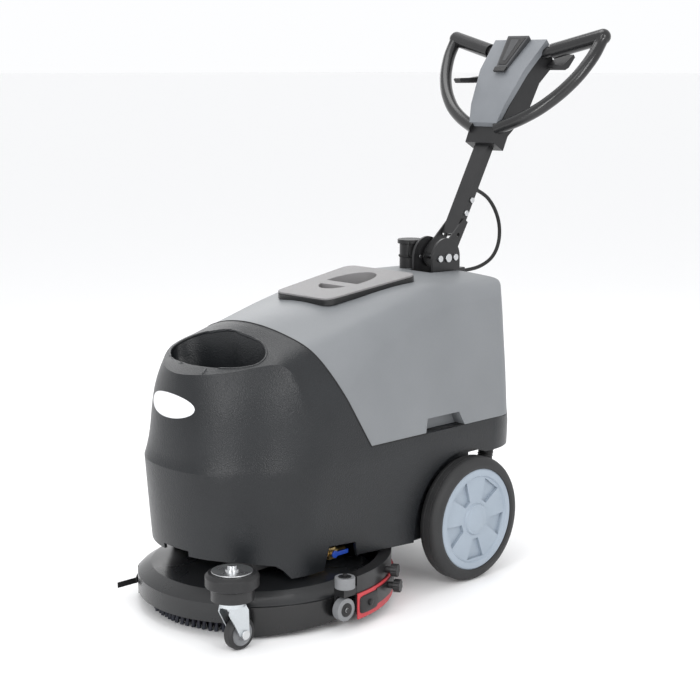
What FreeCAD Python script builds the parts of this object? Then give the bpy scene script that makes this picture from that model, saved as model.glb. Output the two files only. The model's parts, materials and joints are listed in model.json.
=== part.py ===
import FreeCAD, Part
import math
import os
import re

import Sketcher
from types import SimpleNamespace

from FreeCAD import Placement, Rotation, Vector

# Walk-behind floor scrubber, millimetres. The origin is on the floor under the brush spindle:
# +X is the operator's left, -Y the way the machine drives, +Z up.
# Left and right are the operator's, standing behind the machine.

sizes = {
    # scrub deck
    "deckRadius": (230, "outer radius of the round brush deck"),
    "deckRimBottom": (28, "height of the deck's lower edge"),
    "deckRimTop": (67, "height of the deck's shoulder"),
    "deckTop": (105, "height of the flat middle of the deck"),
    "deckWall": (4, "wall of the deck"),
    "brushRadius": (207, "radius of the bristle ring, for a 430 mm scrubbing path"),
    "brushClearance": (1, "lift of the bristle tips off the floor in transport"),
    "skirtWall": (3, "rubber splash skirt"),
    # rear wheels
    "wheelRadius": (126.5, "radius over the tyre"),
    "rimRadius": (103, "radius where the tyre sits on the wheel"),
    "tyreWidth": (48, "width of the tyre"),
    "halfTrack": (235, "outer face of a rear wheel from the middle plane"),
    "axleBack": (382, "rear axle behind the brush spindle"),
    "axleRadius": (10, "radius of the rear axle"),
    "runClearance": (0.06, "radial clearance of a running fit"),
    "gap": (0.3, "air gap between pieces that move past each other"),
    # body
    "beltHeight": (296, "height of the body's widest line"),
    "beltHalf": (201.6, "half width of the body at that line"),
    "noseReach": (210, "front of the body ahead of the spindle"),
    "bodyBack": (580, "rear face of the lower body"),
    "bodyCorner": (112, "radius of the lower body's rear corners"),
    "tankBack": (537, "rear face of the recovery tank"),
    "tankCorner": (45, "radius of the tank's rear corners"),
    "tankFloor": (317, "height of the joint between body and tank"),
    "tankTop": (602, "highest line of the tank's top"),
    "seamFoot": (116, "where the slanted seam meets the level one"),
    "seamTop": (-17, "where the slanted seam reaches the top"),
    "bodyWall": (6, "rotomoulded wall"),
    "splitGap": (0.8, "gap between body and tank along the seam"),
    "channelHalf": (36, "half width of the tank's channel for the column"),
    "channelFront": (451, "front of that channel"),
    "lidGap": (0.5, "gap of the lid's plug in its opening"),
    # caster and bumper roller
    "casterX": (187, "caster swivel from the middle plane"),
    "casterY": (-218, "caster swivel ahead of the spindle"),
    "casterRadius": (30, "radius of the caster wheel"),
    "casterTrail": (14, "trail of the caster wheel"),
    "bumperRadius": (48.5, "radius of the bumper roller"),
    "bumperBottom": (117.3, "underside of the bumper roller"),
    "bumperThick": (29, "thickness of the bumper roller"),
    # squeegee
    "squeegeeRadius": (262, "outer radius of the squeegee's half ring"),
    "squeegeeLift": (18, "blade tips above the floor in transport"),
    "bladeThick": (3, "rubber blade"),
    "bladeHeight": (49, "height of the rear blade"),
    "knobRadius": (12.5, "radius of a clamp knob"),
    "rollerX": (255, "side rollers from the middle plane"),
    "rollerRadius": (19, "radius of a side roller"),
    "supportRadius": (21.5, "radius of a support wheel"),
    # handle
    "pivotY": (510, "fold axis of the handle"),
    "pivotZ": (625, "height of the fold axis"),
    "handleLean": (29.5, "lean of the handle post in degrees"),
    "postWidth": (38, "width of the post"),
    "postDepth": (18, "depth of the post"),
    "bracketHalf": (30, "outer face of a bracket plate from the middle plane"),
    "plateThick": (6, "bracket plate"),
    "gripRadius": (16.5, "radius of a hand grip"),
    "loopRadius": (13.5, "radius of the tube of a hand loop"),
    "cableRadius": (4, "radius of the control cable"),
    "hoseRadius": (17, "outer radius of the suction hose"),
}

doc = FreeCAD.newDocument("scrubber")
sheet = doc.addObject("Spreadsheet::Sheet", "Size")
for row, (alias, (value, note)) in enumerate(sizes.items(), 1):
    sheet.set(f"A{row}", note)
    sheet.set(f"B{row}", str(value))
    sheet.setAlias(f"B{row}", alias)
doc.recompute()
S = SimpleNamespace(**{alias: float(sheet.get(alias)) for alias in sizes})
word = re.compile(r"[A-Za-z]+")


def sheetText(text):
    """An expression on the sheet's cells: every alias in the text gets the sheet's name."""
    return word.sub(lambda m: "Size." + m.group() if m.group() in sizes else m.group(), str(text))


def bind(thing, values):
    for prop, text in values.items():
        thing.setExpression(prop, sheetText(text))
    return thing


def place(thing, at, turn=None):
    """Turn (axis, degrees) about the piece's own origin, then move it to the bound place."""
    if turn:
        thing.Placement = Placement(Vector(), Rotation(Vector(*turn[0]), turn[1]))
    for axis, text in zip("xyz", at):
        thing.setExpression(f"Placement.Base.{axis}", sheetText(text))
    return thing


alongX = ((0, 1, 0), 90)
alongY = ((1, 0, 0), -90)


def cylinder(radius, height, at, turn=None, label="cylinder"):
    thing = doc.addObject("Part::Cylinder", label)
    return place(bind(thing, {"Radius": radius, "Height": height}), at, turn)


def box(length, width, height, at, turn=None, label="box"):
    thing = doc.addObject("Part::Box", label)
    return place(bind(thing, {"Length": length, "Width": width, "Height": height}), at, turn)


def fuse(shapes, label="fuse"):
    thing = doc.addObject("Part::MultiFuse", label)
    thing.Shapes = shapes
    return thing


def cut(base, tools, label="cut"):
    thing = doc.addObject("Part::Cut", label)
    thing.Base = base
    thing.Tool = tools[0] if len(tools) == 1 else fuse(tools, label + "Tools")
    return thing


def group(shapes, label):
    thing = doc.addObject("Part::Compound", label)
    thing.Links = shapes
    return thing


def feature(shape, label="shape", at=None):
    thing = doc.addObject("Part::Feature", label)
    thing.Shape = shape
    if at:
        thing.Placement = at
    return thing


nodes = {}


def node(name, thing):
    """The object becomes the sub-part of this name."""
    thing.Label = name
    nodes[name] = thing
    return thing


def sketchOn(body, role, name):
    plane = [f for f in body.Origin.OriginFeatures if f.Role == role][0]
    sketch = body.newObject("Sketcher::SketchObject", name)
    sketch.AttachmentSupport = [(plane, "")]
    sketch.MapMode = "FlatFace"
    return sketch


def polygon(sketch, corners):
    """A closed outline whose corners are (x, y) texts bound to the sheet."""
    count = len(corners)
    turns = [2 * math.pi * i / count for i in range(count + 1)]
    start = [Vector(50 + math.cos(t), 50 + math.sin(t), 0) for t in turns]
    for i in range(count):
        sketch.addGeometry(Part.LineSegment(start[i], start[i + 1]), False)
    for i in range(count):
        sketch.addConstraint(Sketcher.Constraint("Coincident", i, 2, (i + 1) % count, 1))
    for i, corner in enumerate(corners):
        for kind, text in zip(("DistanceX", "DistanceY"), corner):
            index = sketch.addConstraint(Sketcher.Constraint(kind, -1, 1, i, 1, 50.0))
            sketch.setExpression(f"Constraints[{index}]", sheetText(text))


def revolved(label, corners, at=("0", "0", "0"), turn=None):
    """A body turned about its own Z axis from (radius, height) corners."""
    body = doc.addObject("PartDesign::Body", label)
    sketch = sketchOn(body, "XZ_Plane", label + "Profile")
    polygon(sketch, corners)
    turned = body.newObject("PartDesign::Revolution", label + "Turned")
    turned.Profile = sketch
    turned.ReferenceAxis = (sketch, ["V_Axis"])
    turned.Angle = 360
    return place(body, at, turn)


def sidePrism(points, low, high):
    """A prism along X from (y, z) corners."""
    wire = Part.makePolygon([Vector(low, y, z) for y, z in points + points[:1]])
    return Part.Face(wire).extrude(Vector(high - low, 0, 0))


def block(x0, x1, y0, y1, z0, z1):
    return Part.makeBox(x1 - x0, y1 - y0, z1 - z0, Vector(x0, y0, z0))


def rod(radius, length, at, along=(0, 0, 1)):
    return Part.makeCylinder(radius, length, Vector(*at), Vector(*along))


def between(value, table):
    """Smooth reading of a table of (place, value) pairs in rising order, flat at a turning point."""
    spans = [(b[1] - a[1]) / (b[0] - a[0]) for a, b in zip(table, table[1:])]
    slopes = [spans[0]] + [0 if p * q <= 0 else 2 * p * q / (p + q) for p, q in zip(spans, spans[1:])] + [spans[-1]]
    last = len(spans) - 1
    i = next((i for i in range(last) if value <= table[i + 1][0]), last)
    (a, low), (b, high) = table[i], table[i + 1]
    width = b - a
    t = (value - a) / width
    return ((1 + 2 * t) * (1 - t) ** 2 * low + t * (1 - t) ** 2 * width * slopes[i]
            + t * t * (3 - 2 * t) * high + t * t * (t - 1) * width * slopes[i + 1])


# ---- body and recovery tank: one envelope, split along a slanted seam


def outline(z, half, nose, fullAt, power, back, corner, inset=0):
    """Plan of the envelope at a height: superellipse nose, straight sides, rounded rear corners."""
    half, nose, back, corner = half - inset, nose - inset, back - inset, corner - inset
    points = []
    for i in range(19):
        t = math.pi / 2 - math.pi * i / 18
        x = math.copysign(half * abs(math.sin(t)) ** (2 / power), math.sin(t))
        y = fullAt - (fullAt + nose) * abs(math.cos(t)) ** (2 / power)
        points.append(Vector(x if abs(x) > 1e-6 else 0, y, z))
    points[0], points[-1] = Vector(half, fullAt, z), Vector(-half, fullAt, z)
    front = Part.BSplineCurve()
    front.interpolate(Points=points, InitialTangent=Vector(0, -1, 0), FinalTangent=Vector(0, 1, 0))
    slope = corner * math.sqrt(0.5)
    left = Part.LineSegment(points[-1], Vector(-half, back - corner, z))
    bend = Part.Arc(Vector(-half, back - corner, z),
                    Vector(-half + corner - slope, back - corner + slope, z),
                    Vector(-half + corner, back, z))
    rear = Part.LineSegment(Vector(-half + corner, back, z), Vector(half - corner, back, z))
    bendBack = Part.Arc(Vector(half - corner, back, z),
                        Vector(half - corner + slope, back - corner + slope, z),
                        Vector(half, back - corner, z))
    right = Part.LineSegment(Vector(half, back - corner, z), points[0])
    return Part.Wire([c.toShape() for c in (front, left, bend, rear, bendBack, right)])


# height, half width and nose reach as differences from the belt line, where the side is full, nose power
skirtLevels = [(-200, -12.6, -15, -21, 2.03), (-178, -10.6, -13, -21, 2.03), (0, 0, 0, 19, 2.25)]
hoodLevels = [(0, 0, 0, 19, 2.25), (32, -2.6, -7, 19, 2.15), (84, -6, -12, 19, 2.08), (136, -10, -19, 19, 2.0),
              (163, -12.5, -23, 19, 1.85), (190, -15, -29, 19, 1.68), (236, -19, -42, 19, 1.5),
              (320, -27, -62, 19, 1.5)]


def stack(levels, back, corner, inset=0):
    wires = [outline(S.beltHeight + rise, S.beltHalf + wide, S.noseReach + reach, full, power,
                     back, corner, inset) for rise, wide, reach, full, power in levels]
    return Part.makeLoft(wires, True, False)


# top line along the middle, drop of the crown at 120 mm from it, drop of the shoulder at the side
topLine = [(-240, -155), (-154, -119), (-117, -103), (-80, -86), (-46, -69), (-30, -61), (-15, -55),
           (117, -31), (349, 0), (450, -2), (640, -8)]
crownDrop = [(-240, 12), (-80, 14), (-15, 24), (150, 12), (349, 6), (640, 4)]
shoulderDrop = [(-240, 190), (-15, 190), (150, 160), (349, 140), (640, 130)]


def topHeight(x, y):
    """Height of the envelope's top: a shallow crown with a steep fifth-power shoulder."""
    reach = max(0.0, abs(x) - 105) / 100
    return (S.tankTop + between(y, topLine) - between(y, crownDrop) * (x / 120) ** 2
            - between(y, shoulderDrop) * reach ** 5)


def crown(inset=0):
    """The space under the top surface: a smooth face through a grid of heights, carried down."""
    side = S.beltHalf + 18
    grid = [[Vector(x, y, topHeight(x, y) - inset) for y in range(-240, 641, 22)]
            for x in (side * math.sin(math.pi / 2 * i / 12) for i in range(-12, 13))]
    top = Part.BSplineSurface()
    top.interpolate(grid)
    return top.toShape().extrude(Vector(0, 0, -420))


seamSlope = (S.seamFoot - S.seamTop) / (545 - S.tankFloor)


def behindSeam(shift, floor):
    """Everything above the tank floor and behind the slanted seam."""
    high = 900
    top = S.seamFoot - seamSlope * (high - S.tankFloor) + shift
    return sidePrism([(S.seamFoot + shift, floor), (top, high), (700, high), (700, floor)], -300, 300)


def bowl(z, scale):
    """Plan of the filling bowl: a rounded triangle, widest near its back."""
    wide, back, front = 128, -46, -156
    middle = (back + front) / 2
    half = [(0, back), (60, back - 4), (105, back - 15), (wide, back - 44), (108, back - 76), (60, back - 101),
            (0, front)]
    ring = half + [(-x, y) for x, y in half[-2:0:-1]]
    curve = Part.BSplineCurve()
    curve.interpolate(Points=[Vector(x * scale, middle + (y - middle) * scale, z) for x, y in ring],
                      PeriodicFlag=True)
    return Part.Wire(curve.toShape())


def bowlSpace(grow=0):
    return Part.makeLoft([bowl(418 - grow, 0.84 + grow / 110), bowl(470, 0.955 + grow / 110),
                          bowl(620, 1.1 + grow / 110)], True, True)


def wheelWell(side, extra=0):
    """Room for a rear wheel: round above the axle, open below it."""
    inner = S.halfTrack - S.tyreWidth - 8 - extra
    low, high = sorted((side * inner, side * (inner + 90)))
    reach = 138 + extra
    upper = rod(reach, 90, (low, S.axleBack, S.wheelRadius), (1, 0, 0))
    return upper.fuse(block(low, high, S.axleBack - reach, S.axleBack + reach, 20, S.wheelRadius))


strainer = SimpleNamespace(y=-100, radius=34, flange=40)


def lowerBody():
    skirt = stack(skirtLevels, S.bodyBack, S.bodyCorner)
    hood = stack(hoodLevels, S.bodyBack, S.bodyCorner).common(crown())
    hood = hood.cut(behindSeam(-S.splitGap, S.tankFloor - S.splitGap))
    inner = stack(skirtLevels, S.bodyBack, S.bodyCorner, S.bodyWall)
    innerHood = stack(hoodLevels, S.bodyBack, S.bodyCorner, S.bodyWall).common(crown(S.bodyWall))
    innerHood = innerHood.cut(behindSeam(-S.bodyWall, S.tankFloor - S.splitGap - S.bodyWall))
    innerHood = innerHood.cut(bowlSpace(S.bodyWall))
    shell = skirt.fuse(hood).cut(inner.fuse(innerHood))
    shell = shell.cut(bowlSpace()).cut(rod(strainer.radius, 40, (0, strainer.y, 400)))
    # overhang behind the wheels: a floor closes it, and below it the body ends behind the axle
    rearWall = S.axleBack + 32
    shell = shell.cut(block(-300, 300, rearWall, 700, 60, 250))
    floor = stack(skirtLevels, S.bodyBack, S.bodyCorner).common(block(-300, 300, rearWall - 6, 700, 250, 256))
    wall = stack(skirtLevels, S.bodyBack, S.bodyCorner).common(
        block(-300, 300, rearWall - S.bodyWall, rearWall, 96, 256))
    shell = shell.fuse(floor).fuse(wall)
    inside = stack(skirtLevels, S.bodyBack, S.bodyCorner).common(block(-300, 300, -300, rearWall, 96, 290))
    for side in (1, -1):
        shell = shell.fuse(inside.common(wheelWell(side, S.bodyWall)))
    for side in (1, -1):
        shell = shell.cut(wheelWell(side))
    # uneven lower edge, with the bay of the water valve on the operator's left
    lowEdge = [(-260, 133), (-151, 134), (-102, 125), (-88, 115), (-72, 97), (60, 97), (92, 109), (251, 98),
               (420, 98), (420, 40), (-260, 40)]
    shell = shell.cut(sidePrism(lowEdge, -300, 300))
    shell = shell.cut(sidePrism([(0, 90), (12, 142), (80, 137), (92, 90)], 150, 300))
    shell = shell.cut(block(-36, 36, -260, -140, 100, 144))
    # ways through for the rear axle, the suction hose and the column
    shell = shell.cut(rod(S.axleRadius + 2, 500, (-250, S.axleBack, S.wheelRadius), (1, 0, 0)))
    shell = shell.cut(block(-20, hose.x + 20, rearWall - 10, rearWall + 10, 90, 112))
    shell = shell.cut(rod(S.hoseRadius + 1.5, 90, (hose.x, hose.y - 1, 240)))
    shell = shell.cut(rod(S.hoseRadius + 8, 40, (hose.x - 1, hose.y - 7, 230)))
    half = S.bracketHalf - S.plateThick + 0.5
    shell = shell.cut(block(-half, half, columnFront - 0.5, columnBack + 0.5, 300, 330))
    return shell.removeSplitter()


notchLow, notchHigh = (261, 390), (272, 363)


def fingerNotch(side, grow=0):
    low, high = sorted((side * (172 - grow), side * 260))
    floor = S.tankFloor - 20
    corners = [(notchLow[0] - grow, floor), (notchHigh[0] - grow, 345 + grow),
               (notchHigh[1] + grow, 345 + grow), (notchLow[1] + grow, floor)]
    return sidePrism(corners, low, high)


lid = SimpleNamespace(front=117, back=349, halfFront=77, halfBack=100, corner=22, seal=8, band=9, plate=4)
lidSlope = math.atan2(S.tankTop + between(lid.back, topLine) - S.tankTop - between(lid.front, topLine),
                      lid.back - lid.front)


def lidPlate(inset, low, high):
    """A prism square to the sloping lid: the rounded trapezoid outline, drawn in by inset."""
    front, back = lid.front + inset, lid.back - inset
    halfFront, halfBack = lid.halfFront - inset, lid.halfBack - inset
    wire = Part.makePolygon([Vector(-halfFront, front, 0), Vector(halfFront, front, 0), Vector(halfBack, back, 0),
                             Vector(-halfBack, back, 0), Vector(-halfFront, front, 0)])
    solid = Part.Face(wire).extrude(Vector(0, 0, high - low))
    upright = [e for e in solid.Edges if abs(e.tangentAt(e.FirstParameter).z) > 0.9]
    solid = solid.makeFillet(max(3, lid.corner - inset), upright)
    solid.translate(Vector(0, 0, S.tankTop + low))
    turned = solid.copy()
    turned.rotate(Vector(0, lid.back, S.tankTop), Vector(1, 0, 0), math.degrees(lidSlope))
    return turned


def recoveryTank():
    outer = stack(hoodLevels, S.tankBack, S.tankCorner).common(crown())
    outer = outer.common(behindSeam(0, S.tankFloor))
    inner = stack(hoodLevels, S.tankBack, S.tankCorner, S.bodyWall).common(crown(S.bodyWall))
    inner = inner.common(behindSeam(S.bodyWall, S.tankFloor + S.bodyWall))
    channel = block(-S.channelHalf, S.channelHalf, S.channelFront, 700, 200, 700)
    grown = block(-S.channelHalf - S.bodyWall, S.channelHalf + S.bodyWall, S.channelFront - S.bodyWall, 700, 200, 700)
    inner = inner.cut(grown)
    for side in (1, -1):
        inner = inner.cut(fingerNotch(side, S.bodyWall))
        outer = outer.cut(fingerNotch(side))
    tank = outer.cut(inner).cut(channel)
    tank = tank.cut(lidPlate(22, -60, 30))
    # flat seat that the lid's seal rests on
    tank = tank.cut(lidPlate(-1, -3, 40).cut(lidPlate(22, -60, 60)))
    tank = tank.cut(rod(hose.port, 40, (hose.x, S.tankBack - 20, hose.top), (0, 1, 0)))
    tank = tank.cut(rod(cup.radius + S.runClearance, 60, (cup.x, cup.y, cup.low - 5)))
    return tank.removeSplitter()


hose = SimpleNamespace(x=112, y=S.tankBack + S.hoseRadius + 2.5, top=545, port=13)
cup = SimpleNamespace(x=-62, y=493, radius=23, low=586, high=650)
columnFront, columnBack, columnTop = 464, 572, 575

node("lower_body", feature(lowerBody(), "lowerBody"))
node("recovery_tank", feature(recoveryTank(), "recoveryTank"))


# ---- rear axle and wheels

node("rear_axle", cylinder("axleRadius", "halfTrack * 2 - 24", ("12 - halfTrack", "axleBack", "wheelRadius"), alongX))


def wheel(side):
    """Five-spoke wheel and its tyre, turned in their own frames and set on the axle."""
    name = "left" if side > 0 else "right"
    turn = ((0, 1, 0), 90 * side)
    at = (f"{side} * (halfTrack - tyreWidth)", "axleBack", "wheelRadius")
    rim = "rimRadius - runClearance"
    bore = "axleRadius + runClearance"
    hub = revolved(f"wheel_{name}", [
        (bore, "1"), ("27", "1"), ("27", "28"), ("rimRadius - 11", "28"), ("rimRadius - 11", "4"), (rim, "4"),
        (rim, "44"), ("rimRadius - 3", "46"), ("rimRadius - 14", "46"), ("rimRadius - 17", "42"), ("33", "42"),
        ("30", "46"), ("4", "46.5"), ("4", "40"), (bore, "40")], at, turn)
    doc.recompute()
    sketch = sketchOn(hub, "XY_Plane", f"window{name}")
    sketch.setExpression("AttachmentOffset.Base.z", "42")
    polygon(sketch, [("40", "-8"), ("rimRadius - 22", "-24"), ("rimRadius - 22", "24"), ("40", "8")])
    window = hub.newObject("PartDesign::Pocket", f"windowPocket{name}")
    window.Profile = sketch
    window.Length = 7
    doc.recompute()
    windows = hub.newObject("PartDesign::PolarPattern", f"windows{name}")
    windows.Originals = [window]
    windows.Axis = (sketch, ["N_Axis"])
    windows.Angle = 360
    windows.Occurrences = 5
    hub.Tip = windows
    node(f"wheel_{name}", hub)
    tyre = revolved(f"tyre_{name}", [
        ("rimRadius", "2"), ("rimRadius + 8", "0"), ("wheelRadius - 9", "2"), ("wheelRadius - 3", "5.5"),
        ("wheelRadius", "12"), ("wheelRadius", "tyreWidth - 12"), ("wheelRadius - 3", "tyreWidth - 5.5"),
        ("wheelRadius - 9", "tyreWidth - 2"), ("rimRadius + 8", "tyreWidth"), ("rimRadius", "tyreWidth - 2")],
        at, turn)
    node(f"tyre_{name}", tyre)


wheel(1)
wheel(-1)

# ---- chassis: rails, cross bars, motor plate, battery tray, squeegee guides, caster bracket

railX, railWide, railLow, railHigh, railFront = 112, 24, 112, 142, -128


def chassisFrame():
    back = S.axleBack + 26
    frame = block(railX, railX + railWide, railFront, back, railLow, railHigh)
    frame = frame.fuse(block(-railX - railWide, -railX, railFront, back, railLow, railHigh))
    for low, high in ((railFront, railFront + 28), (112, 136), (222, 248)):
        frame = frame.fuse(block(-railX, railX, low, high, railLow, railHigh))
    frame = frame.fuse(block(-railX, railX, -90, 90, railLow, railLow + 6))
    frame = frame.fuse(block(-railX - railWide, railX + railWide, 150, back, railHigh, railHigh + 4))
    # posts up to the floor of the overhang, and spacers down to the deck
    for x in (-60, 30):
        frame = frame.fuse(block(x, x + 30, S.axleBack + 4, back, railHigh, 250))
    for x in (-56, 56):
        for y in (-56, 56):
            frame = frame.fuse(rod(8, railLow - S.deckTop + 2, (x, y, S.deckTop - 0.6)))
    frame = frame.cut(rod(motorRadius + 1, 40, (0, 0, railLow - 20)))
    frame = frame.cut(rod(S.axleRadius + S.runClearance, 500, (-250, S.axleBack, S.wheelRadius), (1, 0, 0)))
    for x in (-60, 60):
        frame = frame.cut(rod(8 + S.runClearance, 60, (x, 235, railLow - 10)))
    return frame


motorRadius = 62
node("chassis_frame", feature(chassisFrame(), "chassisFrame"))
node("batteries", group([box("118", "120", "125", (x, "182", "146")) for x in ("-130", "12")], "batteries"))
node("vacuum_motor", fuse([
    cylinder("60", "85", ("0", "116", "200")), cylinder("24", "27", ("0", "116", "283.2"))], "vacuumMotor"))

# ---- scrub deck, skirt, brush and its drive

deck = revolved("brush_deck", [
    ("50", "deckTop - deckWall"), ("105", "deckTop - deckWall - 2"), ("155", "deckTop - deckWall - 8"),
    ("deckRadius - 26", "deckRimTop + 9"), ("deckRadius - 6", "deckRimTop - 6"), ("deckRadius - 4", "deckRimBottom"),
    ("deckRadius", "deckRimBottom"), ("deckRadius", "deckRimTop - 4"), ("deckRadius - 4", "deckRimTop"),
    ("deckRadius - 26", "deckRimTop + 14"), ("155", "deckTop - 8"), ("105", "deckTop - 2"), ("50", "deckTop")])
node("brush_deck", deck)


def ringBand(inner, outer, low, high, start, sweep):
    """Part of a ring about the spindle, from an angle off +X."""
    band = Part.makeCylinder(outer, high - low, Vector(0, 0, low), Vector(0, 0, 1), sweep)
    band = band.cut(Part.makeCylinder(inner, high - low, Vector(0, 0, low)))
    band.rotate(Vector(), Vector(0, 0, 1), start)
    return band


skirtInner = S.deckRadius + 0.4
skirtOuter = skirtInner + S.skirtWall


def splashSkirt():
    """Rubber band round the rear of the deck; its lower edge climbs towards the squeegee."""
    band = ringBand(skirtInner, skirtOuter, 3, 60, -44, 268)
    return band.cut(sidePrism([(-170, -5), (-170, 3), (0, 16.5), (300, 16.5), (300, -5)], -300, 300))


def skirtStrap():
    """Tie that holds the skirt, with its free tail standing off the deck's far side."""
    clip = ringBand(skirtOuter + 0.2, skirtOuter + 2.2, 30, 42, 206, 22)
    tail = Part.makeBox(2, 52, 11, Vector(-184, -200, 20))
    return clip.fuse(tail)


node("splash_skirt", feature(splashSkirt(), "splashSkirt"))
node("skirt_strap", feature(skirtStrap(), "skirtStrap"))
node("brush_block", cut(cylinder("brushRadius - 8", "16", ("0", "0", "brushClearance + 33")), [
    cylinder("28.06", "30", ("0", "0", "brushClearance + 25"))], "brushBlock"))
node("brush_bristles", revolved("brush_bristles", [
    ("62", "brushClearance"), ("brushRadius", "brushClearance"), ("brushRadius - 12", "brushClearance + 33"),
    ("66", "brushClearance + 33")]))
node("brush_driver", fuse([
    cylinder("28", "16", ("0", "0", "brushClearance + 33")), cylinder("42", "9", ("0", "0", "brushClearance + 49")),
    cylinder("12", "60", ("0", "0", "brushClearance + 56"))], "brushDriver"))
node("brush_motor", cut(fuse([
    cylinder("61.5", "68", ("0", "0", "110")), cylinder("50", "84", ("0", "0", "178")),
    cylinder("78", "6", ("0", "0", "118.2"))], "motorCase"), [cylinder("12.06", "30", ("0", "0", "100"))],
    "brushMotor"))

# ---- water valve behind its bay in the body's left side

valveY, valveZ = 44, 116
node("solution_valve", fuse([
    cylinder("9", "34", ("166 - 10", f"{valveY} - 17", f"{valveZ}"), alongY),
    box("22", "16", "22", ("145", f"{valveY} - 8", f"{valveZ} - 11")),
    cylinder("6", "26", ("156", f"{valveY} - 42", f"{valveZ}"), alongY),
    cylinder("4", "6", (f"{166}", f"{valveY}", f"{valveZ}"), alongX),
    cylinder("6.5", "24", ("156", f"{valveY} + 16", f"{valveZ}"), alongY)], "solutionValve"))
node("valve_lever", fuse([
    cylinder("7", "3", ("172.4", f"{valveY}", f"{valveZ}"), alongX),
    box("3", "32", "8", ("172.4", f"{valveY} + 2", f"{valveZ} - 4"))], "valveLever"))

# ---- caster with its bumper roller

armTop = 111.7


def casterArm():
    """Boss under the roller and the arm that bolts it to the chassis' front bar."""
    boss = rod(39, S.bumperBottom - 0.3 - 97, (S.casterX, S.casterY, 97))
    plan = [(S.casterX - 25, S.casterY + 14), (S.casterX + 2, S.casterY + 34), (railX - 4, railFront + 22),
            (railX - 60, railFront)]
    wire = Part.makePolygon([Vector(x, y, 99) for x, y in plan + plan[:1]])
    arm = Part.Face(wire).extrude(Vector(0, 0, armTop - 99))
    return boss.fuse(arm).cut(rod(8 + S.runClearance, 60, (S.casterX, S.casterY, 80)))


node("caster_arm", feature(casterArm(), "casterArm"))
node("caster_race", cut(cylinder("24.5", "8.7", ("casterX", "casterY", "88")), [
    cylinder("8 + runClearance", "20", ("casterX", "casterY", "80"))], "casterRace"))
node("bumper_roller", cut(fuse([
    revolved("rollerBarrel", [
        ("20", "0"), ("bumperRadius - 7", "0"), ("bumperRadius", "5"), ("bumperRadius", "bumperThick - 6"),
        ("bumperRadius - 6", "bumperThick"), ("20", "bumperThick")], ("casterX", "casterY", "bumperBottom")),
    cylinder("20.5", "bumperThick", ("casterX", "casterY", "bumperBottom"))], "rollerBody"), [
    cylinder("8 + runClearance", "60", ("casterX", "casterY", "100"))], "bumperRoller"))
node("bumper_bolt", fuse([
    cylinder("8", "62", ("casterX", "casterY", "89")),
    cylinder("37", "2.5", ("casterX", "casterY", "bumperBottom + bumperThick + gap")),
    cylinder("12", "3", ("casterX", "casterY", "bumperBottom + bumperThick + gap + 2.5")),
    cylinder("8.5", "6", ("casterX", "casterY", "bumperBottom + bumperThick + gap + 5.5"))], "bumperBolt"))


def casterFork():
    """Pressed fork: an arched top under the race and two cheeks down to the wheel's bolt."""
    back = S.casterTrail
    top = rod(23, 3.5, (0, 0, 84.2))
    cheek = [(-17, 86), (17, 86), (24, 74), (back + 11, 30), (back, 19), (back - 11, 30), (-20, 74)]
    sides = sidePrism(cheek, -16, 16).cut(block(-13, 13, -60, 60, 0, 80))
    hollow = rod(13.5, 200, (0, -100, 70), (0, 1, 0))
    fork = top.fuse(sides).cut(hollow.common(block(-13, 13, -60, 60, 60, 84)))
    fork = fork.cut(rod(5.05, 60, (-30, back, S.casterRadius), (1, 0, 0)))
    fork.translate(Vector(S.casterX, S.casterY, 0))
    return fork


node("caster_fork", feature(casterFork(), "casterFork"))
wheelAt = ("casterX - 11", "casterY + casterTrail", "casterRadius")
node("caster_tyre", revolved("caster_tyre", [
    ("22", "1"), ("casterRadius - 4", "0"), ("casterRadius", "5"), ("casterRadius", "17"), ("casterRadius - 4", "22"),
    ("22", "21")], wheelAt, alongX))
node("caster_hub", revolved("caster_hub", [
    ("5 + runClearance", "-1"), ("9", "-1"), ("11", "3"), ("19", "3"), ("22 - runClearance", "1"),
    ("22 - runClearance", "21"), ("19", "19"), ("11", "19"), ("9", "23"), ("5 + runClearance", "23")],
    wheelAt, alongX))
node("caster_axle", fuse([
    cylinder("5", "40", ("casterX - 20", "casterY + casterTrail", "casterRadius"), alongX),
    cylinder("8.5", "4", ("casterX + 16.2", "casterY + casterTrail", "casterRadius"), alongX),
    cylinder("8.5", "5", ("casterX - 21.2", "casterY + casterTrail", "casterRadius"), alongX)], "casterAxle"))

# ---- squeegee: half ring behind the deck, parked above the floor

ring = S.squeegeeRadius
bladeLow = S.squeegeeLift
bladeHigh = bladeLow + S.bladeHeight


def squeegeeBody():
    """Channel of the half ring: a top plate, the wall behind the blade, end blocks and the hose spigot."""
    body = ringBand(ring - 24, ring, 84, 100, 3.6, 172.8)
    body = body.fuse(ringBand(ring - 5, ring, bladeLow + 12, 84, 3.6, 172.8))
    body = body.fuse(ringBand(ring - 24, ring - 20, bladeLow + 22, 84, 6, 168))
    for side in (1, -1):
        low, high = sorted((side * (ring - 24), side * ring))
        body = body.fuse(block(low + 1, high - 1, -16, 18, 66, 82))
        # spindles of the side roller and of the support wheel
        body = body.fuse(rod(4, 32, (side * S.rollerX, -8, 78)))
        body = body.fuse(rod(4, 26, (side * (ring - 24), -8, 41), (side, 0, 0)))
        low, high = sorted((side * (ring - 27), side * (ring - 20)))
        body = body.fuse(block(low, high, -16, 0, 36, 82))
    # outlet for the suction hose
    body = body.fuse(rod(spigot.radius, spigot.end - ring + 20, (0, ring - 20, spigot.high), (0, 1, 0)))
    body = body.cut(rod(spigot.radius - 3, 80, (0, ring - 18, spigot.high), (0, 1, 0)))
    return body.cut(rod(spigot.radius - 3, 30, (0, ring - 12, spigot.high - 30)))


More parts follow.
